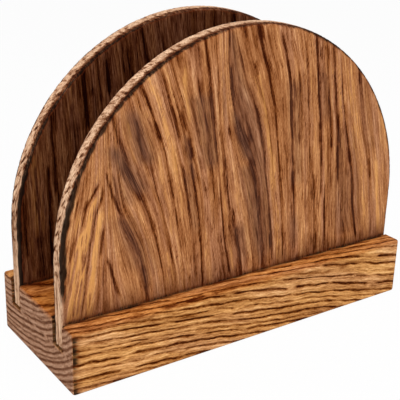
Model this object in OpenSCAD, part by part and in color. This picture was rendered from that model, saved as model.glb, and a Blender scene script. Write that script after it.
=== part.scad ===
// Napkin holder: two arched wooden plates, glued upright into the grooves of a solid wooden base.
// Units are millimetres. X runs along the base, -Y is the front and +Z is up.
// The origin is on the table, under the middle of the base.

/* [Base] */
// Length of the base from end to end
base_length = 160; // [120:1:220]
// Height of the base
base_height = 25; // [18:0.5:40]
// Thickness of the lip outside each plate
lip_thick = 7.8; // [4:0.1:20]
// Rounding of the base's outer edges
base_round = 0.8; // [0.3:0.1:1.5]

/* [Napkin space] */
// Clear space between the two plates
napkin_gap = 29; // [15:1:60]

/* [Plates] */
// Thickness of each plate
plate_thick = 7.5; // [4:0.5:12]
// Height of the plates' straight sides, from the top of the base to the foot of the arch
side_rise = 20.5; // [5:0.5:80]
// How far the plates' sides stand in from the ends of the base
end_inset = 0.6; // [0:0.1:5]
// Rounding of the plates' edges
plate_round = 1.5; // [0.4:0.1:1.9]

/* [Grooves] */
// Depth of the grooves that the plates stand in
groove_depth = 10.5; // [5:0.5:14]
// Thickness of the glue between a plate and its groove
glue_film = 0.2; // [0.1:0.05:0.4]
// How far the glue stops below the top of the base
glue_below = 1; // [0.5:0.1:3]
// Rounding of the edges along the mouths of the grooves
mouth_round = 0.4; // [0.2:0.1:1]

/* [Hidden] */
$fn = 64;

// The base, across its depth: lip, groove, middle bar, groove, lip
groove_width = plate_thick + 2 * glue_film;
groove_floor = base_height - groove_depth;
middle_depth = napkin_gap - 2 * glue_film;
base_depth = middle_depth + 2 * groove_width + 2 * lip_thick;
lip_overrun = 2 * base_round;

// The plates: straight sides up to the foot of the arch, then a half circle
plate_width = base_length - 2 * end_inset;
plate_middle = napkin_gap / 2 + plate_thick / 2;
plate_foot = groove_floor + glue_film;
arch_foot = base_height + side_rise;

// The glue, only where the plate's faces are flat
glue_length = plate_width - 2 * plate_round;
glue_top = base_height - glue_below;

// A bar's section: wide across the first axis and centred there, from low to high on the second
module bar_section(wide, low, high, round) {
    translate([-wide / 2 + round, low])
        square([wide - 2 * round, high - low]);
    translate([-wide / 2, low + round])
        square([wide, high - low - 2 * round]);
    for (side = [-1, 1])
        for (level = [low + round, high - round])
            translate([side * (wide / 2 - round), level])
                circle(r = round);
}

// Section of the base across its length, with both grooves
module base_section() {
    intersection() {
        bar_section(base_depth, 0, base_height, base_round);
        union() {
            translate([-base_depth / 2, 0])
                square([base_depth, groove_floor]);
            bar_section(middle_depth, 0, base_height, mouth_round);
            for (side = [-1, 1])
                translate([side * (base_depth - lip_thick + lip_overrun) / 2, 0])
                    bar_section(lip_thick + lip_overrun, 0, base_height, mouth_round);
        }
    }
}

// The solid base, its grooves open at both ends and all its outer edges eased
module base_block() {
    color("peru")
        intersection() {
            rotate([90, 0, 90])
                linear_extrude(height = base_length, center = true)
                    base_section();
            linear_extrude(height = base_height)
                bar_section(base_length, -base_depth / 2, base_depth / 2, base_round);
            rotate([90, 0, 0])
                linear_extrude(height = base_depth, center = true)
                    bar_section(base_length, 0, base_height, base_round);
        }
}

// Section of a plate, seen from above
module plate_section() {
    bar_section(plate_width, -plate_thick / 2, plate_thick / 2, plate_round);
}

// One plate: the straight part below, and the same section turned through half a circle above
module arched_plate() {
    translate([0, 0, plate_foot])
        linear_extrude(height = arch_foot - plate_foot)
            plate_section();
    translate([0, 0, arch_foot])
        rotate([90, 0, 0])
            rotate_extrude(angle = 180)
                intersection() {
                    plate_section();
                    translate([0, -plate_thick])
                        square([plate_width, 2 * plate_thick]);
                }
}

module front_plate() {
    color("sienna")
        translate([0, -plate_middle, 0])
            arched_plate();
}

module back_plate() {
    color("chocolate")
        translate([0, plate_middle, 0])
            arched_plate();
}

// The glue in one groove: a thin trough under the plate's foot and up both of its faces
module glue_trough() {
    rotate([90, 0, 90])
        linear_extrude(height = glue_length, center = true)
            difference() {
                translate([-groove_width / 2, groove_floor])
                    square([groove_width, glue_top - groove_floor]);
                translate([-plate_thick / 2, plate_foot])
                    square([plate_thick, groove_depth]);
            }
}

module front_glue_line() {
    color("saddlebrown")
        translate([0, -plate_middle, 0])
            glue_trough();
}

module back_glue_line() {
    color("saddlebrown")
        translate([0, plate_middle, 0])
            glue_trough();
}

base_block();
front_plate();
back_plate();
front_glue_line();
back_glue_line();
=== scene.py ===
import math
from bisect import bisect_right
from collections import defaultdict

import bmesh
import bpy
from mathutils import Matrix, Vector, noise


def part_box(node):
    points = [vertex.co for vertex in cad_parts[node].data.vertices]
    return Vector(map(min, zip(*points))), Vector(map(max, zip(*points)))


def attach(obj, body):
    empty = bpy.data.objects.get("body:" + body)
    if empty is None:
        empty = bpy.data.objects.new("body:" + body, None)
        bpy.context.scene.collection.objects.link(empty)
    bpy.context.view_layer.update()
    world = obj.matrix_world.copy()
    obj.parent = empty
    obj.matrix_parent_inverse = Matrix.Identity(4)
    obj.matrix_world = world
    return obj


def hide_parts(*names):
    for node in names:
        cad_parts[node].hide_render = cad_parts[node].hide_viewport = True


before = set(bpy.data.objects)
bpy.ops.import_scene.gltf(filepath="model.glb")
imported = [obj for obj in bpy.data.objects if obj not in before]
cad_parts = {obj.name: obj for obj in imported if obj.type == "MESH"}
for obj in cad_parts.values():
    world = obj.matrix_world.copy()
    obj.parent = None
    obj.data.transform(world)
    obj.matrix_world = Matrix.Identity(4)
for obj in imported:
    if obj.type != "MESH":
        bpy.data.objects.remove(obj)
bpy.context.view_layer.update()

mm = 0.001
print("frame loaded:", sorted(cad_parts))


# Small helpers shared by the wooden pieces

def smooth(value, low, high):
    # 0 below low, 1 above high, eased between
    share = min(1.0, max(0.0, (value - low) / (high - low)))
    return share * share * (3 - 2 * share)


def hump(value, centre, halfWidth):
    # 1 at the centre, falling away on both sides
    return math.exp(-((value - centre) / halfWidth) ** 2)


def between(value, low, high, ease):
    return smooth(value, low - ease, low + ease) * (1 - smooth(value, high - ease, high + ease))


def speckle(x, y, z):
    # Perlin noise moved to 0..1
    return 0.5 + 0.5 * noise.noise(Vector((x, y, z)))


def stations(low, high, pitch, eases):
    # Places along a side: close together at both ends, evenly spaced between
    steps = max(2, round((high - low - 2 * eases[-1]) / pitch))
    step = (high - low - 2 * eases[-1]) / steps
    middle = [low + eases[-1] + step * index for index in range(1, steps)]
    return [low + ease for ease in eases] + middle + [high - ease for ease in reversed(eases)]


def linear(*parts):
    # A colour written in 0..255 screen values, as the shader takes it
    shares = [part / 255 for part in parts]
    return tuple(share / 12.92 if share < 0.04 else ((share + 0.055) / 1.055) ** 2.4 for share in shares)


# What each vertex of the wood carries: its place along the fibres, and across the growth rings
vectorNames = ("fibre", "flow")
# Then how dark (below 0: pale), how scorched, how far on the rim or end grain,
# and the shade: above 0 a brown patch, below 0 painted shade
grainNames = ("dark", "scorch", "rim", "shade")


def brushWood(bm, grainAt):
    # Writes the grain on every vertex, then brushes the soft grain away along the normals
    bm.normal_update()
    vectors = {name: bm.verts.layers.float_vector.new(name) for name in vectorNames}
    values = {name: bm.verts.layers.float.new(name) for name in grainNames}
    moves = []
    for vert in bm.verts:
        grain = grainAt(vert.co / mm, vert.normal)
        for name, layer in vectors.items():
            vert[layer] = grain[name]
        for name, layer in values.items():
            vert[layer] = grain[name]
        moves.append(grain["depth"] * mm)
    for vert, move in zip(bm.verts, moves):
        vert.co -= vert.normal * move


def addObject(name, data):
    made = bpy.data.objects.new(name, data)
    bpy.context.scene.collection.objects.link(made)
    return made


def finishPiece(bm, name, node, material):
    bmesh.ops.recalc_face_normals(bm, faces=bm.faces)
    mesh = bpy.data.meshes.new(name)
    bm.to_mesh(mesh)
    bm.free()
    for face in mesh.polygons:
        face.use_smooth = True
    piece = addObject(name, mesh)
    mesh.materials.append(material)
    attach(piece, "root")
    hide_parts(node)
    print(name, "made:", len(mesh.polygons), "faces")
    return piece


# Shader maths: a wire is one socket, and sums on wires add Math nodes

class Wire:
    def __init__(self, finish, socket):
        self.finish = finish
        self.socket = socket

    def maths(self, operation, *values):
        return self.finish.node("ShaderNodeMath", {"operation": operation}, values)

    def __add__(self, other):
        return self.maths("ADD", self, other)

    def __sub__(self, other):
        return self.maths("SUBTRACT", self, other)

    def __mul__(self, other):
        return self.maths("MULTIPLY", self, other)

    def __radd__(self, other):
        return self.maths("ADD", other, self)

    def __rsub__(self, other):
        return self.maths("SUBTRACT", other, self)

    def __rmul__(self, other):
        return self.maths("MULTIPLY", other, self)

    def clamped(self):
        settings = {"operation": "ADD", "use_clamp": True}
        return self.finish.node("ShaderNodeMath", settings, (self, 0.0))

    def eased(self, low, high):
        settings = {"interpolation_type": "SMOOTHSTEP"}
        return self.finish.node("ShaderNodeMapRange", settings, (self, low, high))


class Finish:
    def __init__(self, owner, ending="ShaderNodeOutputMaterial"):
        # The owner is a new material, or the world with its own kind of ending
        self.owner = owner
        self.ending = ending
        owner.use_nodes = True
        self.tree = owner.node_tree
        self.tree.nodes.clear()

    def node(self, kind, settings=None, values=(), output=0):
        made = self.tree.nodes.new(kind)
        for key, value in (settings or {}).items():
            if key == "stops":
                self.setStops(made.color_ramp, value)
            else:
                setattr(made, key, value)
        pairs = values.items() if isinstance(values, dict) else enumerate(values)
        for key, value in pairs:
            if isinstance(value, Wire):
                self.tree.links.new(value.socket, made.inputs[key])
            else:
                made.inputs[key].default_value = value
        return Wire(self, made.outputs[output] if made.outputs else None)

    def setStops(self, ramp, stops):
        while len(ramp.elements) < len(stops):
            ramp.elements.new(1.0)
        for element, (place, colour) in zip(ramp.elements, stops):
            element.position = place
            element.color = (*linear(*colour), 1)

    def attribute(self, name, output="Fac"):
        return self.node("ShaderNodeAttribute", {"attribute_name": name}, (), output)

    def noise(self, vector, scale, detail=2.0, place=(0, 0, 0), roughness=0.5):
        values = {"Vector": vector, "Location": place, "Scale": scale}
        spread = self.node("ShaderNodeMapping", None, values)
        values = {"Vector": spread, "Scale": 1.0, "Detail": detail, "Roughness": roughness}
        return self.node("ShaderNodeTexNoise", None, values)

    def ramp(self, value, stops):
        return self.node("ShaderNodeValToRGB", {"stops": stops}, {0: value.clamped()})

    def blend(self, mask, first, second, kind="MIX"):
        # On a colour Mix node, socket 0 is the factor, and 6 and 7 are the two colours
        first = first if isinstance(first, Wire) else (*linear(*first), 1)
        second = second if isinstance(second, Wire) else (*linear(*second), 1)
        settings = {"data_type": "RGBA", "blend_type": kind}
        return self.node("ShaderNodeMix", settings, {0: mask, 6: first, 7: second}, 2)

    def seenRays(self):
        # 1 for what the camera sees, also mirrored or through glass, and 0 for light on the object
        kinds = ("Is Camera Ray", "Is Glossy Ray", "Is Transmission Ray")
        straight, mirrored, through = (self.node("ShaderNodeLightPath", None, (), kind) for kind in kinds)
        return (straight + mirrored + through).clamped()

    def surface(self, colour, roughness, height, look):
        values = {"Strength": look["bumpStrength"], "Distance": look["bumpDistance"], "Height": height}
        bump = self.node("ShaderNodeBump", None, values)
        values = {"Base Color": colour, "Roughness": roughness, "Normal": bump}
        values.update({"Specular IOR Level": look["sheen"], "IOR": 1.5})
        return self.close(self.node("ShaderNodeBsdfPrincipled", None, values))

    def close(self, shader):
        self.node(self.ending, None, {"Surface": shader})
        return self.owner


# Scorched, brushed and oiled wood

woodLook = {
    "patchDark": (66, 38, 28),      # the two browns of the patches
    "patchLight": (126, 84, 62),
    "singedColour": (98, 40, 16),
    "charColour": (22, 12, 8),
    "charBreak": 0.8,               # how ragged the char's border is
    "charStrength": 0.97,
    "fleckContrast": 0.25,
    "lineRelief": 0.5,
    "bumpStrength": 0.7,
    "bumpDistance": 0.0003,         # metres
    "sheen": 0.01,                  # specular level: the oil has soaked in
}


def scorchedWood(name, pieceLook):
    look = {**woodLook, **pieceLook}
    finish = Finish(bpy.data.materials.new(name))
    fibre, flow = (finish.attribute(name, "Vector") for name in vectorNames)
    dark, scorch, rim, shade = (finish.attribute(name) for name in grainNames)

    bands = finish.noise(flow, look["bandScale"], 1.5, (7, 3, 1))
    lines = finish.noise(flow, look["lineScale"], 1.0, (3, 8, 6))
    threads = finish.noise(flow, look["threadScale"], 1.5, (0, 0, 0), 0.6)
    dashes = finish.noise(flow, look["dashScale"], 1.5, (4, 6, 2))
    grit = finish.noise(fibre, look["gritScale"], 2.0, (1, 7, 5), 0.6)
    flecks = finish.noise(fibre, look["fleckScale"], 2.0, (5, 1, 8))

    # The broken core of a dark streak, its soft surround, and the pale streaks
    core = (dark + (dashes - 0.5) * look["dashBreak"]).eased(0.4, 1.0)
    halo = (dark + (threads - 0.5) * 0.3).eased(0.0, 1.0)
    pale = (0 - dark - (dashes - 0.5) * 0.8).eased(0.1, 0.8)

    tone = look["tone"] + (bands - 0.5) * look["bandContrast"] + (lines - 0.5) * look["lineContrast"]
    tone = tone + (threads - 0.5) * look["threadContrast"] + pale * look["paleContrast"]
    tone = tone + (grit - 0.5) * look["gritContrast"]
    tone = tone - halo * look["haloContrast"] - core * look["coreContrast"]
    hues = finish.noise(flow, look["hueScale"], 1.0, (2, 9, 4))
    rosy = (hues.eased(0.42, 0.66) - pale).clamped() * look["rosyShare"]
    face = finish.blend(rosy, finish.ramp(tone, look["faceStops"]), finish.ramp(tone, look["rosyStops"]))
    golden = pale * (1.5 - threads) * look["paleShare"]
    face = finish.blend(golden.clamped(), face, look["paleColour"])

    notch = flecks.eased(0.52, 0.66)
    rimTone = look["rimTone"] + (threads - 0.5) * look["rimThreads"] + (lines - 0.5) * look["rimLines"]
    rimTone = rimTone - notch * look["fleckContrast"] - halo * look["rimDark"]

    patch = finish.blend(threads.eased(0.3, 0.7), look["patchDark"], look["patchLight"])
    colour = finish.blend((shade * (0.55 + dashes * 0.7)).clamped(), face, patch)
    # Painted shade: where the shade is below 0, the colour is multiplied darker
    paintedShade = (0 - shade).clamped() * (1.15 - threads * 0.5)
    colour = finish.blend(paintedShade.clamped(), colour, look["paintedShadeColour"], "MULTIPLY")
    colour = finish.blend(rim, colour, finish.ramp(rimTone, look["rimStops"]))
    burnt = (scorch + (threads - 0.5) * look["charBreak"]).eased(0.15, 0.95) * look["charStrength"]
    char = finish.blend(burnt.eased(0.4, 0.9), look["singedColour"], look["charColour"])
    colour = finish.blend(burnt, colour, char)

    roughness = look["roughness"] + (threads - 0.5) * 0.25 + core * 0.12 + burnt * 0.1
    height = threads * look["threadRelief"] + lines * look["lineRelief"] - core * look["streakRelief"]
    height = height + grit * look["gritRelief"] - notch * rim * look["fleckRelief"]
    return finish.surface(colour, roughness.clamped(), height, look)


# The two arched plates

plateForm = {
    "rounding": 1.5,      # of the charred edges, in mm
    "columns": 420,       # across the grain
    "rows": 96,           # along the grain
    "arrisSteps": 4,      # rings round each edge
    "rimSteps": 4,        # rings from each edge to the middle of the thickness
    "centreBias": 0.8,    # under 1 sets the columns closer together in the middle
    "brushDepth": 0.28,   # of the hollows, in mm
    "fibreFoot": 30,      # height in mm that the fibres' place is taken from
    "fibreLean": 0.07,    # how much they lean there
    "fibreCurl": 0.0005,  # and how much more higher up
    "ringWander": 0.35,   # how far the growth rings wander, in mm
    "ringTilt": 0.6,      # how far they move sideways per mm of thickness
    "groundDark": 0.1,    # darkness of the wood between the streaks
    "thinDark": 0.45,     # of the long thin lines in it
    "shortDark": 0.65,    # and of the short ones
    "plainShare": 0.6,    # how much of these three is missing where the wood is plain
    "plainLeft": (-71, -65),    # x in mm between which the cathedral's inside turns plain
    "plainRight": (47, 58),     # and the same near the right edge, across the rings
}

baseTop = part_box("base_block")[1].z / mm

guideHeights = (25, 45, 65, 85, 105, 125)   # where the guides below are given, in mm
namedHeight = 2                             # the one whose x names a ring

frontFigure = {
    # Lines that the growth rings follow: their x in mm at each of the guide heights
    "guides": [
        (-55, -60, -66, -71, -77, -83),
        (-44.8, -48, -57, -64, -70, -76),
        (-37, -40.4, -46.4, -55.4, -61, -67),
        (-31, -34.5, -40, -45.7, -52.3, -59),
        (-27.5, -31, -35, -39.2, -47, -55),
        (-21.5, -22.7, -26, -31, -36.7, -43),
        (-16.5, -18, -20.4, -24.9, -31.4, -37),
        (-9, -12, -14.5, -17.5, -21, -24),
        (-0.7, -4.8, -8.7, -12, -14, -15.5),
        (5, 1.6, -3, -8.7, -12.2, -13.8),
        (10.5, 8, 4, -5, -10.2, -11.5),
        (15, 12.7, 9, 5.6, -2.5, -9),
        (20.3, 18.9, 16.2, 12.9, 8.5, 1.9),
        (27, 25.2, 23, 20.6, 18, 12.3),
        (32.5, 30.8, 28.9, 27, 24.7, 20),
        (39.8, 38.4, 36.8, 34.2, 31.2, 28.5),
        (50.5, 48.6, 46.7, 44.3, 40.8, 37.5),
        (61.5, 57.2, 53.5, 48, 44, 40),
        (71, 68, 64.2, 58.7, 54, 49),
        (80, 77.5, 73.3, 68.5, 63, 57),
    ],
    "heart": -62,         # x of the cathedral's middle, in mm
    "outermost": -59,     # the ring line that the cathedral's plain inside starts from
    "leftLean": -0.17,    # how the straight fibres left of the cathedral lean
    "leftShift": -9,      # sets them off from the ring lines, in mm
    # Thin lines that run nearly all the way along a growth ring, written as the streaks are
    "ringLines": [
        (-56.8, 25, 80, 0.5, 0.95), (-46, 28, 100, 0.4, 0.8), (-40.3, 30, 110, 0.35, 0.8),
        (-34.3, 32, 112, 0.35, 0.85), (-28, 28, 112, 0.35, 0.8), (-24, 28, 104, 0.3, 0.75),
        (-22, 40, 110, 0.25, 0.55), (-20.5, 48, 80, 0.25, 0.6), (-16, 50, 122, 0.3, 0.75),
        (-13, 28, 125, 0.35, 0.9), (-9.8, 50, 125, 0.3, 0.75), (-8.6, 24, 54, 0.45, 0.9),
        (-5.5, 70, 124, 0.25, 0.45), (4.1, 24, 125, 0.45, 0.95), (8.8, 28, 122, 0.4, 0.95),
        (12, 96, 125, 0.2, 0.45), (15.9, 28, 125, 0.45, 0.95), (19.5, 60, 122, 0.2, 0.4),
        (22.7, 28, 120, 0.4, 0.9), (27, 56, 118, 0.3, 0.6), (31.4, 62, 120, 0.3, 0.7),
        (34, 25, 60, 0.35, 0.85), (37.5, 52, 118, 0.4, 0.85), (39.7, 25, 56, 0.35, 0.8),
        (42.8, 54, 115, 0.35, 0.8), (46.6, 56, 113, 0.4, 0.85), (53.6, 28, 108, 0.45, 0.9),
        (63.6, 28, 106, 0.5, 0.45),
    ],
    # Streaks: place across the rings (its x at the named height), low end, high end,
    # half width, darkness, and the drift per mm of height of those that leave their ring
    "streaks": [
        (-57.2, 45, 60, 1.2, 0.95), (-57, 36, 48, 0.9, 0.8), (-56.6, 24, 40, 0.9, 0.95),
        (-55.4, 58, 77, 0.45, 0.8, 0.15), (-47.2, 66, 79, 1.7, 0.85, -0.1), (-46.2, 52, 70, 0.7, 0.85),
        (-46.3, 30, 52, 0.5, 0.55), (-45.6, 79, 91, 0.7, 0.8), (-45.4, 90, 99, 0.4, 0.65),
        (-40.4, 81, 96, 0.8, 0.9, 0.05), (-40.9, 94, 101, 0.5, 0.6), (-39.8, 69, 82, 0.4, 0.75),
        (-39.3, 58, 67, 0.5, 0.65, 0.05), (-40, 45, 51, 0.4, 0.55), (-40.7, 38, 45, 0.4, 0.75),
        (-34.2, 94, 101, 0.5, 0.85), (-34.7, 87, 94, 0.8, 1.0, 0.05), (-35.3, 76, 82, 0.3, 0.5),
        (-33.6, 64, 73, 0.5, 0.9, 0.05), (-34.1, 52, 60, 0.5, 0.85), (-34.1, 43, 51, 0.4, 0.85),
        (-35, 25, 38, 0.5, 0.65, 0.05), (-33.8, 102, 110, 0.6, 0.55), (-26.5, 99, 111, 0.5, 0.8),
        (-26.3, 86, 99, 0.7, 0.9), (-27.4, 68, 76, 0.5, 0.85), (-27.9, 58, 70, 0.5, 0.9),
        (-28.5, 49, 60, 0.4, 0.65), (-28.4, 34, 45, 0.4, 0.65), (-22.9, 78, 86, 0.7, 0.95, 0.1),
        (-24.1, 65, 76, 0.5, 0.85, 0.05), (-24.7, 50, 63, 0.35, 0.75), (-24.4, 31, 46, 0.35, 0.75),
        (-22.9, 89, 96, 0.7, 0.75), (-22.9, 99, 105, 0.5, 0.5), (-21.3, 104, 113, 0.5, 0.55, 0.1),
        (-20, 71, 77, 0.4, 0.8, 0.05), (-20.4, 61, 70, 0.4, 0.55), (-20.6, 50, 58, 0.35, 0.65),
        (-18.6, 90, 101, 0.4, 0.6, 0.05), (-16, 74, 85, 0.5, 0.75), (-15.7, 86, 95, 0.5, 0.75),
        (-15.2, 109, 120, 0.3, 0.65), (-15.3, 99, 107, 0.3, 0.55), (-12.5, 108, 116, 0.35, 0.75),
        (-12.3, 99, 108, 0.3, 0.55), (-13, 89, 99, 0.5, 0.85), (-13.1, 78, 87, 0.4, 0.65),
        (-10, 115, 124, 0.3, 0.55), (-9.8, 103, 110, 0.35, 0.8), (-9.8, 91, 100, 0.3, 0.55),
        (-16.9, 64, 70, 0.4, 0.55), (-16.8, 50, 60, 0.3, 0.45), (-13, 60, 67, 0.4, 0.8),
        (-13, 49, 60, 0.3, 0.35), (-9.7, 70, 76, 0.4, 0.9, 0.05), (-9.2, 63, 71, 0.4, 0.85, 0.05),
        (-13.1, 30, 50, 0.3, 0.75), (-9, 46, 52, 0.5, 0.85), (-8.4, 35, 46, 0.7, 1.0),
        (-8.8, 24, 36, 0.6, 0.95), (-4.4, 84, 88, 1.0, 0.9), (4.0, 79, 83, 1.5, 1.0),
        (2.5, 80, 88, 2.4, 0.8, -0.3), (4.1, 70, 80, 0.9, 0.95), (3.4, 61, 72, 0.9, 1.0),
        (3.1, 52, 62, 0.7, 0.95), (3.2, 39, 52, 0.6, 0.9), (3.1, 26, 40, 0.7, 0.95),
        (4.7, 99, 111, 0.35, 0.85), (8.7, 89, 101, 0.35, 0.65), (9.2, 68, 80, 0.35, 0.85),
        (9, 58, 69, 0.3, 0.55), (8.8, 49, 60, 0.5, 0.9), (8.6, 41, 50, 0.5, 0.9),
        (8.1, 33, 39, 0.6, 0.95), (16, 119, 125, 0.7, 1.0), (15.9, 103, 111, 0.5, 0.9),
        (15.9, 94, 104, 0.35, 0.75), (16, 80, 95, 0.55, 0.95), (16.1, 71, 81, 0.5, 0.85),
        (16, 65, 73, 0.6, 1.0), (15.8, 49, 63, 0.7, 0.9), (15.3, 36, 50, 0.5, 0.75),
        (22.7, 97, 112, 0.6, 0.45), (22.9, 78, 94, 0.8, 0.95), (22.6, 68, 77, 0.6, 0.85),
        (22.6, 55, 65, 0.7, 0.95), (22.7, 32, 39, 0.8, 0.5), (27, 96, 105, 0.4, 0.9),
        (26.9, 84, 97, 0.4, 0.65), (27.2, 74, 83, 0.35, 0.5), (28.8, 47, 56, 0.4, 0.65),
        (31.3, 90, 98, 0.5, 0.75), (31.6, 78, 86, 0.5, 0.75), (32.4, 62, 73, 0.35, 0.65, -0.05),
        (33.3, 49, 62, 0.4, 0.75, -0.06), (34.1, 38, 47, 0.5, 0.55, -0.06), (34.9, 27, 35, 0.6, 0.75),
        (35, 110, 122, 0.35, 0.55), (34.9, 81, 99, 0.3, 0.45), (37.6, 98, 106, 0.5, 0.85),
        (37.9, 84, 100, 0.6, 0.85), (37.4, 74, 83, 0.8, 0.95), (37.5, 63, 72, 0.5, 0.85),
        (38, 110, 118, 0.4, 0.65), (42.9, 97, 105, 0.5, 0.55), (42.7, 84, 93, 0.6, 0.9),
        (42.9, 71, 85, 0.6, 0.95), (43, 53, 62, 0.4, 0.45), (43.4, 108, 114, 0.5, 0.65),
        (47, 105, 112, 1.1, 0.75), (46.6, 84, 99, 0.8, 0.75), (47, 73, 85, 0.9, 1.0),
        (46.6, 61, 72, 0.7, 0.9), (54.9, 95, 108, 0.6, 0.45), (53.8, 71, 89, 0.9, 0.8, 0.03),
        (53, 63, 70, 0.8, 0.8), (53.8, 47, 62, 0.7, 0.85), (53.5, 33, 47, 0.7, 0.65),
        (39.5, 40, 49, 0.5, 0.9), (39.9, 29, 42, 0.5, 0.75, -0.03), (43.4, 40, 47, 0.4, 0.55),
        (63.6, 96, 101, 0.8, 0.8), (63.6, 84, 97, 0.6, 0.6), (63.6, 68, 83, 0.5, 0.4),
        (63.6, 54, 63, 0.7, 0.75), (63.5, 28, 54, 0.6, 0.5),
    ],
    # The same among the straight fibres, with x at the lowest guide height: dark, then pale
    "leftStreaks": [
        (-74.9, 66, 75, 0.8, 0.9, 0.5), (-76.5, 60, 70, 0.7, 0.85, 0.05),
        (-77.8, 55, 63, 0.5, 0.6, 0.3), (-79.2, 50, 57, 0.5, 0.6, 0.2), (-72.1, 54, 66, 0.5, 0.75),
        (-72.7, 42, 55, 0.5, 0.8), (-72.2, 28, 42, 0.45, 0.7), (-70.9, 64, 74, 0.5, 0.8, 0.16),
        (-72.1, 58, 66, 0.5, 0.7, 0.1), (-68, 48, 58, 0.7, 0.85), (-68.3, 40, 49, 0.4, 0.6),
        (-66.6, 27, 44, 0.4, 0.6, -0.12), (-70.7, 68, 79, 0.5, 0.8), (-61.2, 31, 46, 0.6, 0.85, -0.45),
        (-65.6, 36, 46, 0.4, 0.6, -0.1), (-76, 30, 44, 0.35, 0.45), (-78, 36, 52, 0.35, 0.5, 0.05),
        (-74.3, 28, 40, 0.35, 0.5),
    ],
    "leftPale": [
        (-77.3, 26, 66, 1.6, 1.0), (-74.4, 26, 72, 1.3, 1.0), (-70.3, 26, 64, 1.2, 0.95),
        (-66.8, 46, 70, 0.7, 0.5), (-68.6, 26, 38, 0.6, 0.6), (-73.5, 66, 80, 1.0, 0.5),
    ],
    # Honey-coloured streaks
    "paleStreaks": [
        (58.5, 30, 104, 2.4, 0.45), (73, 60, 90, 2.0, 0.4), (-52, 56, 66, 1.2, 0.4, 0.1),
        (-50, 26, 34, 2.0, 0.5), (-43, 80, 100, 1.0, 0.5, 0.1), (-37.5, 50, 98, 1.3, 0.5, 0.03),
        (-31, 74, 112, 1.6, 0.75), (-31.5, 56, 74, 1.2, 0.6), (-24.6, 100, 112, 0.5, 0.7, 0.1),
        (-19.8, 92, 112, 0.5, 0.8, 0.1), (-21.6, 30, 50, 0.6, 0.6), (-18.5, 70, 84, 0.5, 0.4),
        (-11.6, 28, 60, 0.45, 0.75), (-12.3, 40, 80, 0.6, 0.5, 0.02), (-4, 88, 124, 5.0, 0.45),
        (-6, 50, 80, 1.6, 0.4), (12.3, 28, 106, 1.8, 0.65), (12.5, 80, 100, 1.2, 0.5),
        (19, 74, 104, 1.6, 0.3), (32.9, 88, 105, 0.45, 0.8), (33.8, 70, 90, 1.0, 0.7),
        (26, 55, 71, 0.5, 0.5, 0.1), (30, 112, 120, 1.6, 0.5), (40.5, 56, 72, 1.2, 0.45),
        (45, 88, 105, 0.5, 0.7, 0.02), (44.8, 62, 78, 0.5, 0.6), (51, 82, 110, 2.2, 0.6),
        (60, 60, 104, 2.2, 0.25), (67.7, 28, 61, 0.8, 0.7), (40, 74, 80, 1.2, 0.3),
        (72, 28, 60, 1.4, 0.3), (-42.6, 30, 44, 2.5, 0.6),
    ],
    # Dark brown patches
    "patches": [
        (-48, 70, 86, 2.4, 1.0, -0.15), (-57, 40, 60, 2.6, 0.6), (-56, 26, 40, 1.6, 0.7),
        (-40.6, 80, 98, 1.8, 0.8), (-26.2, 50, 72, 1.0, 0.45), (-16, 74, 100, 2.2, 0.7),
        (-24, 70, 86, 1.0, 0.5), (1, 27, 70, 2.4, 0.75), (6.4, 26, 122, 2.0, 0.6),
        (24.6, 60, 100, 2.0, 0.45), (41, 84, 102, 1.8, 0.4), (48.5, 60, 78, 1.6, 0.4),
        (49, 30, 60, 3.6, 0.45), (-7, 26, 46, 2.6, 0.5), (66, 68, 98, 2.0, 0.2),
        (-52, 36, 50, 3.0, 0.3), (22, 28, 44, 2.0, 0.4), (-6, 90, 106, 1.6, 0.3), (3, 74, 92, 2.0, 0.9),
        (-52, 66, 76, 2.5, 0.4), (56, 30, 76, 1.2, 0.3),
    ],
}

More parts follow.
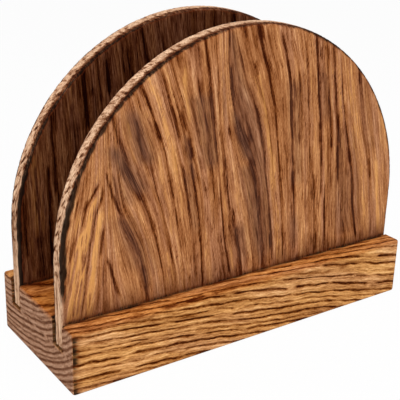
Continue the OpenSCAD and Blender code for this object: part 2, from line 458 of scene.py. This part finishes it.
backFigure = {
    "guides": [
        (-76, -76.5, -77, -78, -79, -80),
        (-48, -49, -50, -51, -52.5, -54),
        (-18, -19, -20, -22, -25, -28),
        (10, 10, 10, 9, 7, 5),
        (40, 41, 42, 42, 41, 40),
        (76, 77, 78, 79, 79, 79),
    ],
    "heart": -400,        # no cathedral on this board: both lie far beyond its edge
    "outermost": -400,
    "leftLean": 0,
    "leftShift": 0,
    "ringLines": [
        (-71, 26, 70, 0.3, 0.6), (-62, 26, 98, 0.3, 0.7), (-49, 40, 108, 0.3, 0.7),
        (-40, 26, 112, 0.3, 0.4), (-26, 26, 118, 0.3, 0.5), (-12, 26, 122, 0.3, 0.5),
        (4, 26, 124, 0.3, 0.5), (20, 26, 122, 0.3, 0.6), (33, 26, 116, 0.3, 0.5),
        (47, 26, 108, 0.3, 0.6), (59, 26, 100, 0.3, 0.5),
    ],
    "streaks": [
        (-76.8, 36, 68, 0.9, 0.9), (-70.6, 26, 44, 0.6, 0.7), (-66.3, 30, 70, 0.7, 0.9, 0.02),
        (-62, 34, 60, 0.6, 0.8), (-63, 60, 98, 0.8, 0.8), (-48, 84, 107, 0.9, 0.95),
        (-61, 84, 98, 0.5, 0.8), (-58, 26, 60, 1.0, 0.9), (-54, 66, 92, 0.6, 0.6),
        (-45, 30, 76, 0.8, 0.7), (-41, 92, 112, 0.5, 0.7), (-37, 96, 108, 0.9, 0.9),
        (-33, 30, 90, 0.6, 0.7), (-29, 90, 118, 0.6, 0.7), (-24, 60, 112, 0.9, 0.8, -0.1),
        (-18, 104, 119, 0.8, 0.8, -0.1), (-14, 28, 70, 0.9, 0.8), (-10, 100, 122, 0.5, 0.7, -0.15),
        (-5, 50, 104, 0.7, 0.7), (1, 104, 124, 0.8, 0.6, -0.1), (6, 28, 88, 0.9, 0.85),
        (12, 66, 124, 0.8, 0.75), (19, 26, 60, 0.6, 0.8), (21, 72, 122, 1.1, 0.9),
        (28, 40, 112, 0.7, 0.7), (34, 26, 66, 0.8, 0.8), (38, 70, 116, 0.9, 0.85),
        (45, 30, 106, 0.6, 0.7), (51, 54, 110, 1.0, 0.8), (57, 26, 70, 0.7, 0.7),
        (60, 72, 100, 0.6, 0.8), (67, 30, 88, 0.9, 0.75), (73, 28, 70, 0.6, 0.7),
    ],
    "leftStreaks": [],
    "leftPale": [],
    "paleStreaks": [
        (-71.5, 44, 94, 2.2, 0.9), (-74.5, 28, 46, 1.0, 0.5), (-54.5, 88, 104, 2.2, 0.7),
        (-52, 28, 60, 2.0, 0.4), (-39, 40, 92, 1.6, 0.5), (-20, 30, 96, 1.8, 0.5),
        (-2, 60, 110, 1.6, 0.5), (16, 40, 110, 1.4, 0.6), (31, 60, 116, 1.6, 0.5),
        (48, 40, 100, 1.6, 0.6), (63, 40, 92, 1.8, 0.5),
    ],
    "patches": [
        (-60, 30, 80, 3.0, 0.5), (-44, 84, 112, 3.0, 0.4), (-10, 30, 80, 4.0, 0.5),
        (24, 50, 110, 3.0, 0.5), (54, 30, 90, 3.5, 0.45),
    ],
}


def curveThrough(values, place):
    # A smooth curve through evenly spaced values
    last = len(values) - 1
    place = min(last - 1e-6, max(0.0, place))
    index = int(place)
    share = place - index
    before, here = values[max(0, index - 1)], values[index]
    after, beyond = values[index + 1], values[min(last, index + 2)]
    bend = 2 * before - 5 * here + 4 * after - beyond
    turn = 3 * here - before - 3 * after + beyond
    return here + 0.5 * share * (after - before + share * (bend + share * turn))


def guideRows(figure):
    # The guides' x at every mm of height, from 0 to just over the plate's top
    first, second = guideHeights[:2]
    rows = []
    for height in range(guideHeights[-1] + 5):
        place = (height - first) / (second - first)
        rows.append([curveThrough(guide, place) for guide in figure["guides"]])
    return rows


def ringFlow(figure, rows, x, z):
    # Distance across the growth rings: the same all along one ring line
    names = [guide[namedHeight] for guide in figure["guides"]]
    level = min(len(rows) - 2, max(0, z))
    lower, upper = rows[int(level)], rows[int(level) + 1]
    share = level - int(level)
    index = min(len(names) - 2, max(0, bisect_right(lower, x) - 1))
    left = lower[index] + share * (upper[index] - lower[index])
    right = lower[index + 1] + share * (upper[index + 1] - lower[index + 1])
    if index == 0 and x < left:
        return names[0] + x - left
    if index == len(names) - 2 and x > right:
        return names[-1] + x - right
    return names[index] + (x - left) / (right - left) * (names[index + 1] - names[index])


def plateFlow(figure, rows, x, z):
    # The ring lines, the straight leaning fibres left of the cathedral, and both blended
    across = ringFlow(figure, rows, x, z)
    fromHeart = x - figure["heart"]
    inside = max(smooth(figure["outermost"] - across, -0.5, 1.5), smooth(-fromHeart, -1, 2))
    straight = x + figure["leftLean"] * (z - guideHeights[0])
    blended = across + smooth(-fromHeart, -8, 6) * (straight + figure["leftShift"] - across)
    return across, straight, blended, inside


def sortStreaks(streaks):
    # Lists the streaks that come near each mm across the rings, each with its drift or 0
    near = defaultdict(list)
    for streak in streaks:
        place, low, high, half, strength, drift = (*streak, 0)[:6]
        reach = 2.6 * half + abs(drift) * (high - low)
        for spot in range(math.floor(place - reach), math.ceil(place + reach) + 1):
            near[spot].append((place, low, high, half, strength, drift))
    return near


def streakAt(near, across, z):
    total = 0.0
    for place, low, high, half, strength, drift in near[round(across)]:
        away = across - place - drift * (z - (low + high) / 2)
        total = max(total, strength * hump(away, 0, 1.6 * half) * between(z, low - 1, high + 1, 2.5))
    return total


def plateGrain(figure, box, faceLooks):
    low, high = box[0] / mm, box[1] / mm
    halfWide = (high.x - low.x) / 2
    archFoot = high.z - halfWide
    middle = (low.y + high.y) / 2
    rows = guideRows(figure)
    kinds = ("streaks", "leftStreaks", "leftPale", "ringLines", "paleStreaks", "patches")
    near = {kind: sortStreaks(figure[kind]) for kind in kinds}

    def grainAt(place, normal):
        x, y, z = place
        across, straight, blended, inside = plateFlow(figure, rows, x, z)
        wander = plateForm["ringWander"] * noise.noise(Vector((x * 0.09, y * 0.05, z * 0.06)))
        tilt = wander + plateForm["ringTilt"] * (y - low.y)
        across += tilt
        straight += tilt
        up = z - plateForm["fibreFoot"]
        fibreAcross = x + plateForm["fibreLean"] * up + plateForm["fibreCurl"] * up * up

        dark = streakAt(near["streaks"], across, z) * (1 - inside)
        dark = max(dark, streakAt(near["leftStreaks"], straight, z) * inside)
        line = streakAt(near["ringLines"], across, z) * (1 - inside)
        line *= 0.55 + 0.9 * speckle(across * 0.3, y * 0.2 + 2, z * 0.09)
        thin = smooth(speckle(blended * 0.75, y * 0.2 + 5, z * 0.05), 0.58, 0.80)
        short = smooth(speckle(blended * 1.5, y * 0.2 + 9, z * 0.16), 0.60, 0.74)
        plain = max(inside * smooth(x, *plateForm["plainLeft"]), smooth(across, *plateForm["plainRight"]))
        shown = 1 - plateForm["plainShare"] * plain
        dark = max(dark, line, (plateForm["thinDark"] * thin + plateForm["groundDark"]) * shown)
        dark = max(dark, plateForm["shortDark"] * short * shown)
        pale = streakAt(near["paleStreaks"], across, z) * (1 - inside)
        pale = max(pale, streakAt(near["leftPale"], straight, z) * inside)
        patch = streakAt(near["patches"], across, z)

        rise = z - archFoot
        foot = z - baseTop
        toEdge = halfWide - math.hypot(x, max(0.0, rise))
        toFace = min(y - low.y, high.y - y)
        rim = smooth(math.hypot(normal.x, normal.z), 0.55, 0.9)
        marks = rimMarks(x, y - low.y, rise, foot, halfWide) if rim > 0 else 0.0
        toned = dark - 0.9 * pale * (1 - dark)
        face = faceLooks["front" if y < middle else "back"]
        # Dark joint where the face meets the base, with painted shade fading above it, drawn as scorch
        jointAndShadeLine = 0.65 * hump(foot, 0, 1.1) + 0.35 * hump(foot, 0, 4)
        scorch = max(edgeScorch(x, rise, toEdge, toFace, face), face["footJointAndShade"] * jointAndShadeLine * (1 - rim))
        # Painted shade: over the inner faces between the plates, and above the foot
        shade = patch - face["paintedShade"] * (1 + patch) - face["footPaintedShade"] * hump(foot, 0, 7)
        return {
            "fibre": (fibreAcross, y, z),
            "flow": (blended + tilt, y, z),
            "dark": toned + rim * (max(0.4 * toned, marks) - toned),
            "scorch": scorch,
            "rim": rim,
            "shade": shade * (1 - rim),
            "depth": plateForm["brushDepth"] * max(dark * (1 - 0.6 * rim), rim * marks),
        }

    return grainAt


rimForm = {
    # Along the rim, in mm from the foot of the arch
    "marksBegin": (-9, 1),      # the slanted marks
    "coarseEnd": (35, 65),      # where the coarse ones get fewer
    "smokeBegin": (10, 50),     # the smoky front half of the rim
    "stripeEnd": (-7, 1),       # the upright stripe at the foot
    # Across the rim, in mm from the plate's front
    "smokeAcross": (1.0, 3.6),
    "stripe": (4.4, 0.55),      # its place and half width
    # Darkness of each, and the painted shade on the rim below the base's top
    "coarseDark": 0.85,
    "fineDark": 0.5,
    "smokeDark": 0.68,
    "stripeDark": 0.5,
    "sunkShade": 0.2,
}


def rimMarks(x, across, rise, foot, radius):
    # Marks on the rim: one upright stripe at the foot, slanted and coarse above, fine over the crown
    turn = math.atan2(abs(x), max(0.01, rise))
    along = radius * (math.pi / 2 - turn) + min(0.0, rise)
    coarse = smooth(noise.noise(Vector((along * 0.4 + across * 0.5, across * 0.6, 3.1))), 0.18, 0.4)
    fine = smooth(noise.noise(Vector((along * 0.9 + across * 0.3, across * 0.4, 7.7))), 0.1, 0.45)
    begun = smooth(along, *rimForm["marksBegin"])
    coarse *= begun * (1 - 0.7 * smooth(along, *rimForm["coarseEnd"]))
    smoke = (1 - smooth(across, *rimForm["smokeAcross"])) * smooth(along, *rimForm["smokeBegin"])
    stripe = hump(across, *rimForm["stripe"]) * (1 - smooth(along, *rimForm["stripeEnd"]))
    # Painted shade where the rim sinks into the groove
    sunk = 1 - smooth(foot, -2, 1)
    return max(
        rimForm["coarseDark"] * coarse,
        rimForm["smokeDark"] * smoke + rimForm["fineDark"] * fine * begun,
        rimForm["stripeDark"] * stripe,
        rimForm["sunkShade"] * sunk,
    )


def edgeScorch(x, rise, toEdge, toFace, face):
    # Widest low on the left edge, narrower up to the crown and down the right edge.
    # The turn is 0 at the crown and -90 low on the left, in degrees.
    turn = math.degrees(math.atan2(x, max(0.01, rise)))
    left = 0.5 * smooth(-turn, 0, 35) + 0.5 * smooth(-turn, 62, 86)
    right = 0.45 * smooth(turn, 0, 25) * (1 - 0.6 * smooth(turn, 70, 90))
    share = max(left, right)
    ragged = speckle(rise * 0.3, x * 0.3, 4.4 + toFace * 0.2)
    reach = 1.0
    for away, (thin, wide) in ((toEdge, face["faceScorch"]), (toFace, face["rimScorch"])):
        width = (thin + (wide - thin) * share) * (0.55 + 0.9 * ragged)
        reach *= 1 - smooth(away, width * 0.45, width * 1.4)
    fade = (1 - face["footFade"] * smooth(-rise, 6, 15)) * (0.72 + 0.28 * share)
    return fade * reach


def makePlate(name, node, figure, faceLooks, material):
    low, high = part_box(node)
    rounding = plateForm["rounding"] * mm
    halfWide = (high.x - low.x) / 2
    archFoot = high.z - halfWide
    inner = halfWide - rounding
    middle = (low.y + high.y) / 2
    halfThick = (high.y - low.y) / 2
    bias = plateForm["centreBias"]

    bm = bmesh.new()
    bmesh.ops.create_grid(bm, x_segments=plateForm["columns"], y_segments=plateForm["rows"], size=1)
    for vert in bm.verts:
        turn = math.pi / 2 * (bias * vert.co.x + (1 - bias) * vert.co.x ** 3)
        x = inner * math.sin(turn)
        top = archFoot + math.sqrt(max(0.0, inner ** 2 - x ** 2))
        vert.co = (x, -halfThick, low.z + (vert.co.y + 1) / 2 * (top - low.z))

    def outwardAt(place):
        if place.z > archFoot + 1e-7:
            return Vector((place.x, 0, place.z - archFoot)).normalized()
        if abs(place.x) > inner - 1e-7:
            return Vector((math.copysign(1, place.x), 0, 0))
        return Vector()

    # Half of the rim, ring by ring: round the arris, then straight to the middle of the thickness
    quarter = math.pi / 2
    angles = [quarter * step / plateForm["arrisSteps"] for step in range(plateForm["arrisSteps"] + 1)]
    rings = [(rounding * math.sin(a), rounding * (1 - math.cos(a)) - halfThick) for a in angles]
    flat = halfThick - rounding
    for step in range(1, plateForm["rimSteps"] + 1):
        rings.append((rounding, flat * (step / plateForm["rimSteps"] - 1)))
    edges = [edge for edge in bm.edges if edge.is_boundary]
    for (reach, across), (oldReach, _) in zip(rings[1:], rings):
        grown = bmesh.ops.extrude_edge_only(bm, edges=edges)["geom"]
        fresh = [part for part in grown if isinstance(part, bmesh.types.BMVert)]
        for vert in fresh:
            vert.co += outwardAt(vert.co) * (reach - oldReach)
            vert.co.y = across
        edges = [part for part in grown if isinstance(part, bmesh.types.BMEdge) and part.is_boundary]
    everything = bm.verts[:] + bm.edges[:] + bm.faces[:]
    bmesh.ops.mirror(bm, geom=everything, axis="Y", merge_dist=1e-6)
    bmesh.ops.remove_doubles(bm, verts=bm.verts, dist=1e-7)
    bmesh.ops.translate(bm, vec=(0, middle, 0), verts=bm.verts)
    bmesh.ops.recalc_face_normals(bm, faces=bm.faces)
    bmesh.ops.triangulate(bm, faces=bm.faces, quad_method="FIXED")
    brushWood(bm, plateGrain(figure, (low, high), faceLooks))
    return finishPiece(bm, name, node, material)


plateLook = {
    "bandScale": (0.45, 0.1, 0.012),
    "lineScale": (1.5, 0.5, 0.035),
    "threadScale": (2.4, 1.2, 0.15),
    "dashScale": (1.6, 0.8, 0.14),
    "gritScale": (4.0, 2.0, 0.7),
    "fleckScale": (2.0, 1.8, 0.5),
    "hueScale": (0.3, 0.1, 0.02),
    "rosyShare": 0.7,
    "tone": 0.62,
    "bandContrast": 0.8,
    "lineContrast": 0.6,
    "threadContrast": 0.85,
    "gritContrast": 0.8,
    "dashBreak": 1.0,
    "haloContrast": 0.34,
    "coreContrast": 0.30,
    "paleContrast": 0.1,
    "paleShare": 0.6,
    "paleColour": (232, 166, 92),
    "faceStops": [
        (0.0, (56, 18, 4)), (0.15, (92, 42, 14)), (0.35, (132, 76, 38)),
        (0.55, (164, 105, 63)), (0.75, (193, 132, 84)), (1.0, (228, 171, 115)),
    ],
    "rosyStops": [
        (0.0, (56, 20, 6)), (0.15, (92, 45, 22)), (0.35, (132, 80, 50)),
        (0.55, (163, 108, 75)), (0.75, (188, 132, 98)), (1.0, (220, 166, 130)),
    ],
    "rimTone": 0.79,
    "rimThreads": 0.5,
    "rimLines": 0.9,
    "rimDark": 0.8,
    "rimStops": [
        (0.0, (58, 28, 16)), (0.35, (134, 88, 58)), (0.65, (202, 157, 124)), (1.0, (242, 204, 168)),
    ],
    # colour of the painted shade on the inner faces between the plates
    "paintedShadeColour": (88, 46, 34),
    "roughness": 0.55,
    "threadRelief": 0.4,
    "gritRelief": 0.5,
    "fleckRelief": 0.8,
    "streakRelief": 0.6,
}

openFace = {
    "faceScorch": (1.0, 2.1),   # mm of charred edge on the face: over the crown, and low on the left
    "rimScorch": (1.2, 2.0),    # the same on the rim
    "footFade": 0.6,            # how much of it is missing near the base
    "footJointAndShade": 0.72,         # strength of the dark joint where the face meets the base, and of the painted shade just above it
    "footPaintedShade": 0.5,            # of the softer painted shade higher above that line
    "paintedShade": 0.0,                # and of the painted shade over the whole face
}
innerFace = {
    "faceScorch": (1.1, 1.9),
    "rimScorch": (0.8, 1.7),
    "footFade": 0.0,
    "footJointAndShade": 0.7,
    "footPaintedShade": 0.0,
    # painted shade over the whole inner face, between the plates
    "paintedShade": 0.94,
}

plateWood = scorchedWood("scorchedPlateWood", plateLook)
makePlate("front_board", "front_plate", frontFigure, {"front": openFace, "back": innerFace}, plateWood)
makePlate("back_board", "back_plate", backFigure, {"front": innerFace, "back": openFace}, plateWood)


# The grooved base block

baseForm = {
    "rounding": 1.2,              # of the worn outer edges, in mm
    "mouthRounding": 0.4,         # of the edges along the grooves
    "pitch": 0.45,                # between stations across the grain
    "lengthPitch": 1.25,          # and along it
    "eases": (0, 0.15, 0.4, 0.75, 1.2),     # stations round a worn edge
    "wallEases": (0, 0.13, 0.4),            # and round an edge along a groove
    "brushDepth": 0.3,            # of the hollows, in mm
}

baseFigure = {
    "heartY": 26,                 # centre of the growth rings, in mm
    "heartZ": 95,
    "fall": 0.1,                  # how the rings sink towards the right
    "fallMore": 0.0004,           # and how much faster near that end
    "wander": 0.8,                # how far they wander in long waves, in mm
    "ripple": 0.45,               # and in short ones
    # Radii of the dark rings, in mm, and how dark each one is
    "rings": [
        (53.5, 0.8), (55.6, 0.9), (58.6, 1.0), (61, 0.8), (63.2, 0.9), (66.4, 1.0), (68.5, 0.8),
        (71, 0.9), (73.5, 0.8), (76.1, 1.0), (78.5, 0.9), (80.6, 0.6), (82.4, 0.9), (84.9, 1.0),
        (87.4, 0.9), (89.4, 0.7), (91.3, 1.0), (93.6, 0.9), (95.6, 0.7), (97.2, 0.9), (99.6, 1.0),
        (101.8, 0.8), (104.2, 1.0), (105.6, 0.6), (107.4, 0.9), (109.6, 0.8),
    ],
    "ringHalf": 0.5,              # half width of a dark ring, in mm
    "fineDark": 0.5,              # darkness of the fine lines between the rings
    # Dark marks along the top front arris: low and high x, and darkness
    "arrisMarks": [
        (-76, -71, 0.7), (-57, -50, 0.8), (-43, -23, 1.0), (-21, -7, 0.7), (30, 44, 0.6), (66, 76, 0.5),
    ],
    "grooveShade": 0.72,         # painted shade on the walls and floors of the grooves, in the scorch colours
    "mouthScorchAndShade": 1.9,           # width of the scorch and painted shade beside the grooves' mouths, in mm
    "arrisScorch": 0.7,           # along the outer edges
}


def baseGrain(figure, box, grooves):
    low, high = box[0] / mm, box[1] / mm

    def grainAt(place, normal):
        x, y, z = place
        run = x - low.x
        sunk = z + figure["fall"] * run + figure["fallMore"] * run * run
        wander = figure["wander"] * noise.noise(Vector((x * 0.03, y * 0.05, z * 0.06)))
        ripple = figure["ripple"] * noise.noise(Vector((x * 0.16, y * 0.2, z * 0.25)))
        ring = math.hypot(y - figure["heartY"], sunk - figure["heartZ"]) + wander + ripple

        # Dark rings, broken along the sides but whole on the end grain
        rim = smooth(abs(normal.x), 0.6, 0.9)
        radius, darkness = min(figure["rings"], key=lambda entry: abs(entry[0] - ring))
        width = figure["ringHalf"] * (0.7 + 0.6 * speckle(radius * 2.3, x * 0.2, 1.7))
        width *= 1 + 0.15 * rim
        breaks = max(smooth(speckle(radius * 5.7, x * 0.13, y * 0.04), 0.2, 0.44), 0.8 * rim)
        late = darkness * hump(ring - radius, 0, width) * (0.3 + 0.7 * breaks)
        fine = smooth(speckle(ring * 1.1, y * 0.3, x * 0.16), 0.60, 0.78)
        dark = max(late, figure["fineDark"] * fine * (1 - 0.5 * smooth(x, 10, 60)))
        toFront = y - low.y
        mark = hump(toFront, 0.9, 1.5) * hump(high.z - z, 0, 1.9)
        uneven = 0.6 + 0.6 * speckle(x * 0.3, y, 4.2)
        for start, end, strength in figure["arrisMarks"]:
            dark = max(dark, strength * mark * between(x, start, end, 2) * uneven)
        pale = smooth(abs(ring - radius), 0.7, 1.3) * speckle(ring * 0.5, y * 0.1, x * 0.1)

        # Scorch on the front left corner and the outer edges, painted shade in the grooves, and scorch
        # with painted shade beside their mouths
        facing = max(abs(part) for part in normal)
        flat = smooth(facing, 0.9, 0.99)
        arris = between(facing, 0.5, 0.95, 0.02)
        corner = hump(toFront, 0, 1.0) * hump(x - low.x, 0, 3.2) if toFront < 0.4 else 0.0
        corner *= 0.3 + 1.1 * speckle(z * 0.4, x * 0.15, 3.3)
        sunken = any(
            start - 0.05 < y < end + 0.05 and floor - 0.05 < z < high.z - 0.5
            for start, end, floor in grooves
        )
        hidden = 1.0 if sunken else 0.0
        scorch = max(corner, figure["arrisScorch"] * arris * speckle(x * 0.2, y, z))
        # Painted shade in the grooves, drawn with the scorch colours
        scorch = max(scorch, figure["grooveShade"] * hidden)
        # Beside the grooves' mouths, where the plates stand: scorch with painted shade
        if z > high.z - 0.6:
            mouth = min(abs(y - edge) for wall in grooves for edge in wall[:2])
            charred = 0.4 + 0.7 * speckle(x * 0.12, y * 0.3, 9.1)
            scorch = max(scorch, hump(mouth, 0, figure["mouthScorchAndShade"]) * charred)

        # Painted shade and warm bounce light on the top, deepest between the plates; near the top it also
        # holds back the end grain's colour
        inner = max(between(y, grooves[0][1], grooves[1][0], 0.3), 0.6)
        inner *= smooth(z, high.z - 2.6, high.z - 0.6)
        return {
            "fibre": (y, sunk, x),
            "flow": (ring, y, x),
            "dark": dark - 0.6 * pale * (1 - dark),
            "scorch": scorch,
            "rim": rim * (1 - 0.6 * inner),
            "shade": -inner,
            "depth": baseForm["brushDepth"] * dark * (1 - hidden) * (1 - 0.4 * rim) * flat,
        }

    return grainAt


def easeCorner(vert, cornerY, cornerZ, side, rounding):
    # Rounds an edge along x: the wood lies on one side of cornerY and below cornerZ
    centreY = cornerY + side * rounding
    centreZ = cornerZ - rounding
    away = Vector((vert.co.y - centreY, vert.co.z - centreZ))
    if away.x * side < -1e-9 and away.y > 1e-9 and abs(away.x) < rounding + 1e-7:
        away = away.normalized() * rounding
        vert.co.y = centreY + away.x
        vert.co.z = centreZ + away.y


def makeBase(material):
    low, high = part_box("base_block")
    walls = []
    for node in ("front_glue_line", "back_glue_line"):
        glueLow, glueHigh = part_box(node)
        walls.append((glueLow.y / mm, glueHigh.y / mm, glueLow.z / mm))
    edgeY = [low.y / mm, walls[0][0], walls[0][1], walls[1][0], walls[1][1], high.y / mm]
    floorZ = walls[0][2]
    topZ = high.z / mm
    outer = baseForm["eases"]
    wall = baseForm["wallEases"]
    pitch = baseForm["pitch"]

    placesY = []
    for number, (start, end) in enumerate(zip(edgeY, edgeY[1:])):
        part = stations(start, end, pitch, wall)
        if number == 0:
            worn = [start + ease for ease in outer]
            part = worn + [place for place in part if place > worn[-1]]
        if number == len(edgeY) - 2:
            worn = [end - ease for ease in reversed(outer)]
            part = [place for place in part if place < worn[0]] + worn
        placesY += part if not placesY else part[1:]
    lower = stations(0, floorZ, pitch, outer)
    lower = [place for place in lower if place <= floorZ - outer[-1] + 1e-6] + [floorZ]
    upper = stations(floorZ, topZ, pitch, outer)[1:]
    upper = sorted(set([round(place, 5) for place in upper] + [round(topZ - ease, 5) for ease in wall]))
    placesZ = lower + [place for place in upper if place > floorZ + outer[1]]
    placesX = stations(low.x / mm, high.x / mm, baseForm["lengthPitch"], outer)

    bm = bmesh.new()
    acrossCount, upCount = len(placesY) - 1, len(placesZ) - 1
    bmesh.ops.create_grid(bm, x_segments=acrossCount, y_segments=upCount, size=1)
    for vert in bm.verts:
        column = round((vert.co.x + 1) / 2 * acrossCount)
        row = round((vert.co.y + 1) / 2 * upCount)
        vert.co = (low.x, placesY[column] * mm, placesZ[row] * mm)

    def inGroove(face):
        spot = face.calc_center_median() / mm
        return any(start < spot.y < end and spot.z > floor for start, end, floor in walls)

    bmesh.ops.delete(bm, geom=[face for face in bm.faces if inGroove(face)], context="FACES")
    grown = bmesh.ops.extrude_face_region(bm, geom=bm.faces[:])["geom"]
    far = [part for part in grown if isinstance(part, bmesh.types.BMVert)]
    bmesh.ops.translate(bm, vec=(high.x - low.x, 0, 0), verts=far)
    longEdges = [edge for edge in bm.edges if abs(edge.verts[0].co.x - edge.verts[1].co.x) > mm]
    lengthCount = len(placesX) - 1
    bmesh.ops.subdivide_edges(bm, edges=longEdges, cuts=lengthCount - 1, use_grid_fill=True)
    for vert in bm.verts:
        step = round((vert.co.x - low.x) / (high.x - low.x) * lengthCount)
        vert.co.x = placesX[step] * mm

    mouth = baseForm["mouthRounding"] * mm
    for vert in bm.verts:
        for start, end, floor in walls:
            easeCorner(vert, start * mm, high.z, -1, mouth)
            easeCorner(vert, end * mm, high.z, 1, mouth)
    rounding = baseForm["rounding"] * mm
    inset = Vector((rounding,) * 3)
    for vert in bm.verts:
        nearest = Vector(map(max, low + inset, map(min, high - inset, vert.co)))
        away = vert.co - nearest
        if sum(abs(part) > 1e-9 for part in away) > 1:
            vert.co = nearest + away.normalized() * rounding
    bmesh.ops.recalc_face_normals(bm, faces=bm.faces)
    brushWood(bm, baseGrain(baseFigure, (low, high), walls))
    return finishPiece(bm, "grooved_base", "base_block", material)


baseLook = {
    "bandScale": (0.25, 0.1, 0.02),
    "lineScale": (1.4, 0.3, 0.05),
    "threadScale": (2.0, 1.6, 0.2),
    "dashScale": (1.5, 1.2, 0.5),
    "gritScale": (3.0, 3.0, 0.8),
    "fleckScale": (1.3, 1.8, 0.8),
    "hueScale": (0.15, 0.1, 0.02),
    "rosyShare": 0.5,
    "tone": 0.66,
    "bandContrast": 0.7,
    "lineContrast": 0.8,
    "threadContrast": 1.0,
    "gritContrast": 0.6,
    "dashBreak": 1.1,
    "haloContrast": 0.32,
    "coreContrast": 0.28,
    "paleContrast": 0.2,
    "paleShare": 0.3,
    "paleColour": (232, 172, 110),
    "faceStops": [
        (0.0, (62, 20, 2)), (0.15, (100, 48, 10)), (0.35, (144, 88, 40)),
        (0.55, (184, 126, 70)), (0.75, (216, 156, 92)), (1.0, (250, 198, 132)),
    ],
    "rosyStops": [
        (0.0, (62, 22, 6)), (0.15, (100, 52, 22)), (0.35, (144, 92, 54)),
        (0.55, (182, 128, 88)), (0.75, (210, 156, 114)), (1.0, (242, 194, 152)),
    ],
    "rimTone": 0.74,
    "rimThreads": 0.6,
    "rimLines": 0.5,
    "rimDark": 0.5,
    "rimStops": [
        (0.0, (70, 32, 16)), (0.35, (118, 76, 52)), (0.65, (170, 126, 98)), (1.0, (212, 170, 140)),
    ],
    # colour of the painted shade on the top, warm like light bounced between the plates
    "paintedShadeColour": (226, 184, 136),
    "roughness": 0.54,
    "threadRelief": 0.5,
    "gritRelief": 0.3,
    "fleckRelief": 0.5,
    "streakRelief": 1.0,
}

makeBase(scorchedWood("scorchedBaseWood", baseLook))


# The dried glue in the grooves keeps its CAD shape

glueLook = {
    "lumpScale": (900, 900, 900),   # lumps per metre
    "darkColour": (40, 26, 20),
    "lightColour": (104, 74, 52),
    "roughness": 0.35,
    "bumpStrength": 0.4,
    "bumpDistance": 0.0002,         # metres
    "sheen": 0.5,
}


def glueFinish():
    finish = Finish(bpy.data.materials.new("driedGlue"))
    place = finish.node("ShaderNodeTexCoord", None, (), "Object")
    lumps = finish.noise(place, glueLook["lumpScale"])
    colour = finish.blend(lumps, glueLook["darkColour"], glueLook["lightColour"])
    return finish.surface(colour, glueLook["roughness"] + lumps * 0.3, lumps, glueLook)


driedGlue = glueFinish()
for node in ("front_glue_line", "back_glue_line"):
    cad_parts[node].data.materials.clear()
    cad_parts[node].data.materials.append(driedGlue)
print("glue lines finished")


# Camera at the photograph's viewing angle

shot = {
    "place": (-198.6, -274.9, 180.5),   # mm
    "yaw": 34.91,                       # degrees
    "pitch": 21.165,
    "roll": 1.627,
    "lens": 80.04,                      # mm
    "sensor": 36,                       # mm wide
}


def makeCamera():
    yaw, pitch, roll = (math.radians(shot[name]) for name in ("yaw", "pitch", "roll"))
    ahead = Vector((math.sin(yaw) * math.cos(pitch), math.cos(yaw) * math.cos(pitch), -math.sin(pitch)))
    level = Vector((math.cos(yaw), -math.sin(yaw), 0))
    above = level.cross(ahead)
    right = level * math.cos(roll) + above * math.sin(roll)
    up = above * math.cos(roll) - level * math.sin(roll)
    data = bpy.data.cameras.new("studioCamera")
    data.lens = shot["lens"]
    data.sensor_width = shot["sensor"]
    data.sensor_fit = "HORIZONTAL"
    data.clip_start = 0.01
    camera = addObject("studioCamera", data)
    camera.matrix_world = Matrix((right, up, -ahead)).transposed().to_4x4()
    camera.location = Vector(shot["place"]) * mm
    bpy.context.scene.camera = camera


makeCamera()
print("camera placed")


# Plain pale studio

studio = {
    "floorHalf": 3.0,                   # metres
    "floorColour": (0.8, 0.8, 0.8),
    "floorGlow": 0.95,                  # share of plain white that the camera sees on the floor
    "worldLight": 0.38,
    "aim": (0, 0, 0.06),                # where the lamps point, in metres
    "lamps": [
        # name, place in metres, width, power in watts
        ("softTop", (-0.25, -0.45, 0.95), 0.8, 9.5),
        ("softFront", (-0.35, -1.1, 0.55), 0.8, 1.2),
        ("softLeft", (-1.1, -0.2, 0.45), 0.6, 2.0),
    ],
}


def makeFloor():
    bm = bmesh.new()
    bmesh.ops.create_grid(bm, x_segments=1, y_segments=1, size=studio["floorHalf"])
    mesh = bpy.data.meshes.new("studioFloor")
    bm.to_mesh(mesh)
    bm.free()
    floor = addObject("studioFloor", mesh)
    finish = Finish(bpy.data.materials.new("paleFloor"))
    seen = finish.seenRays() * studio["floorGlow"]
    matt = finish.node("ShaderNodeBsdfDiffuse", None, {"Color": (*studio["floorColour"], 1)})
    glow = finish.node("ShaderNodeEmission", None, {"Color": (1, 1, 1, 1), "Strength": 1.0})
    mixed = finish.node("ShaderNodeMixShader", None, {0: seen, 1: matt, 2: glow})
    mesh.materials.append(finish.close(mixed))


def makeWorld():
    # White where the camera sees it, and softer as light on the object
    finish = Finish(bpy.data.worlds.new("studioWorld"), "ShaderNodeOutputWorld")
    soft, white = (
        finish.node("ShaderNodeBackground", None, {"Color": (1, 1, 1, 1), "Strength": strength})
        for strength in (studio["worldLight"], 1.0)
    )
    mixed = finish.node("ShaderNodeMixShader", None, {0: finish.seenRays(), 1: soft, 2: white})
    bpy.context.scene.world = finish.close(mixed)


def makeLamps():
    for name, place, width, power in studio["lamps"]:
        data = bpy.data.lights.new(name, "AREA")
        data.size = width
        data.energy = power
        lamp = addObject(name, data)
        aim = Vector(studio["aim"]) - Vector(place)
        lamp.matrix_world = aim.to_track_quat("-Z", "Y").to_matrix().to_4x4()
        lamp.location = place


makeFloor()
makeWorld()
makeLamps()
bpy.context.scene.view_settings.view_transform = "Standard"
print("studio lit")
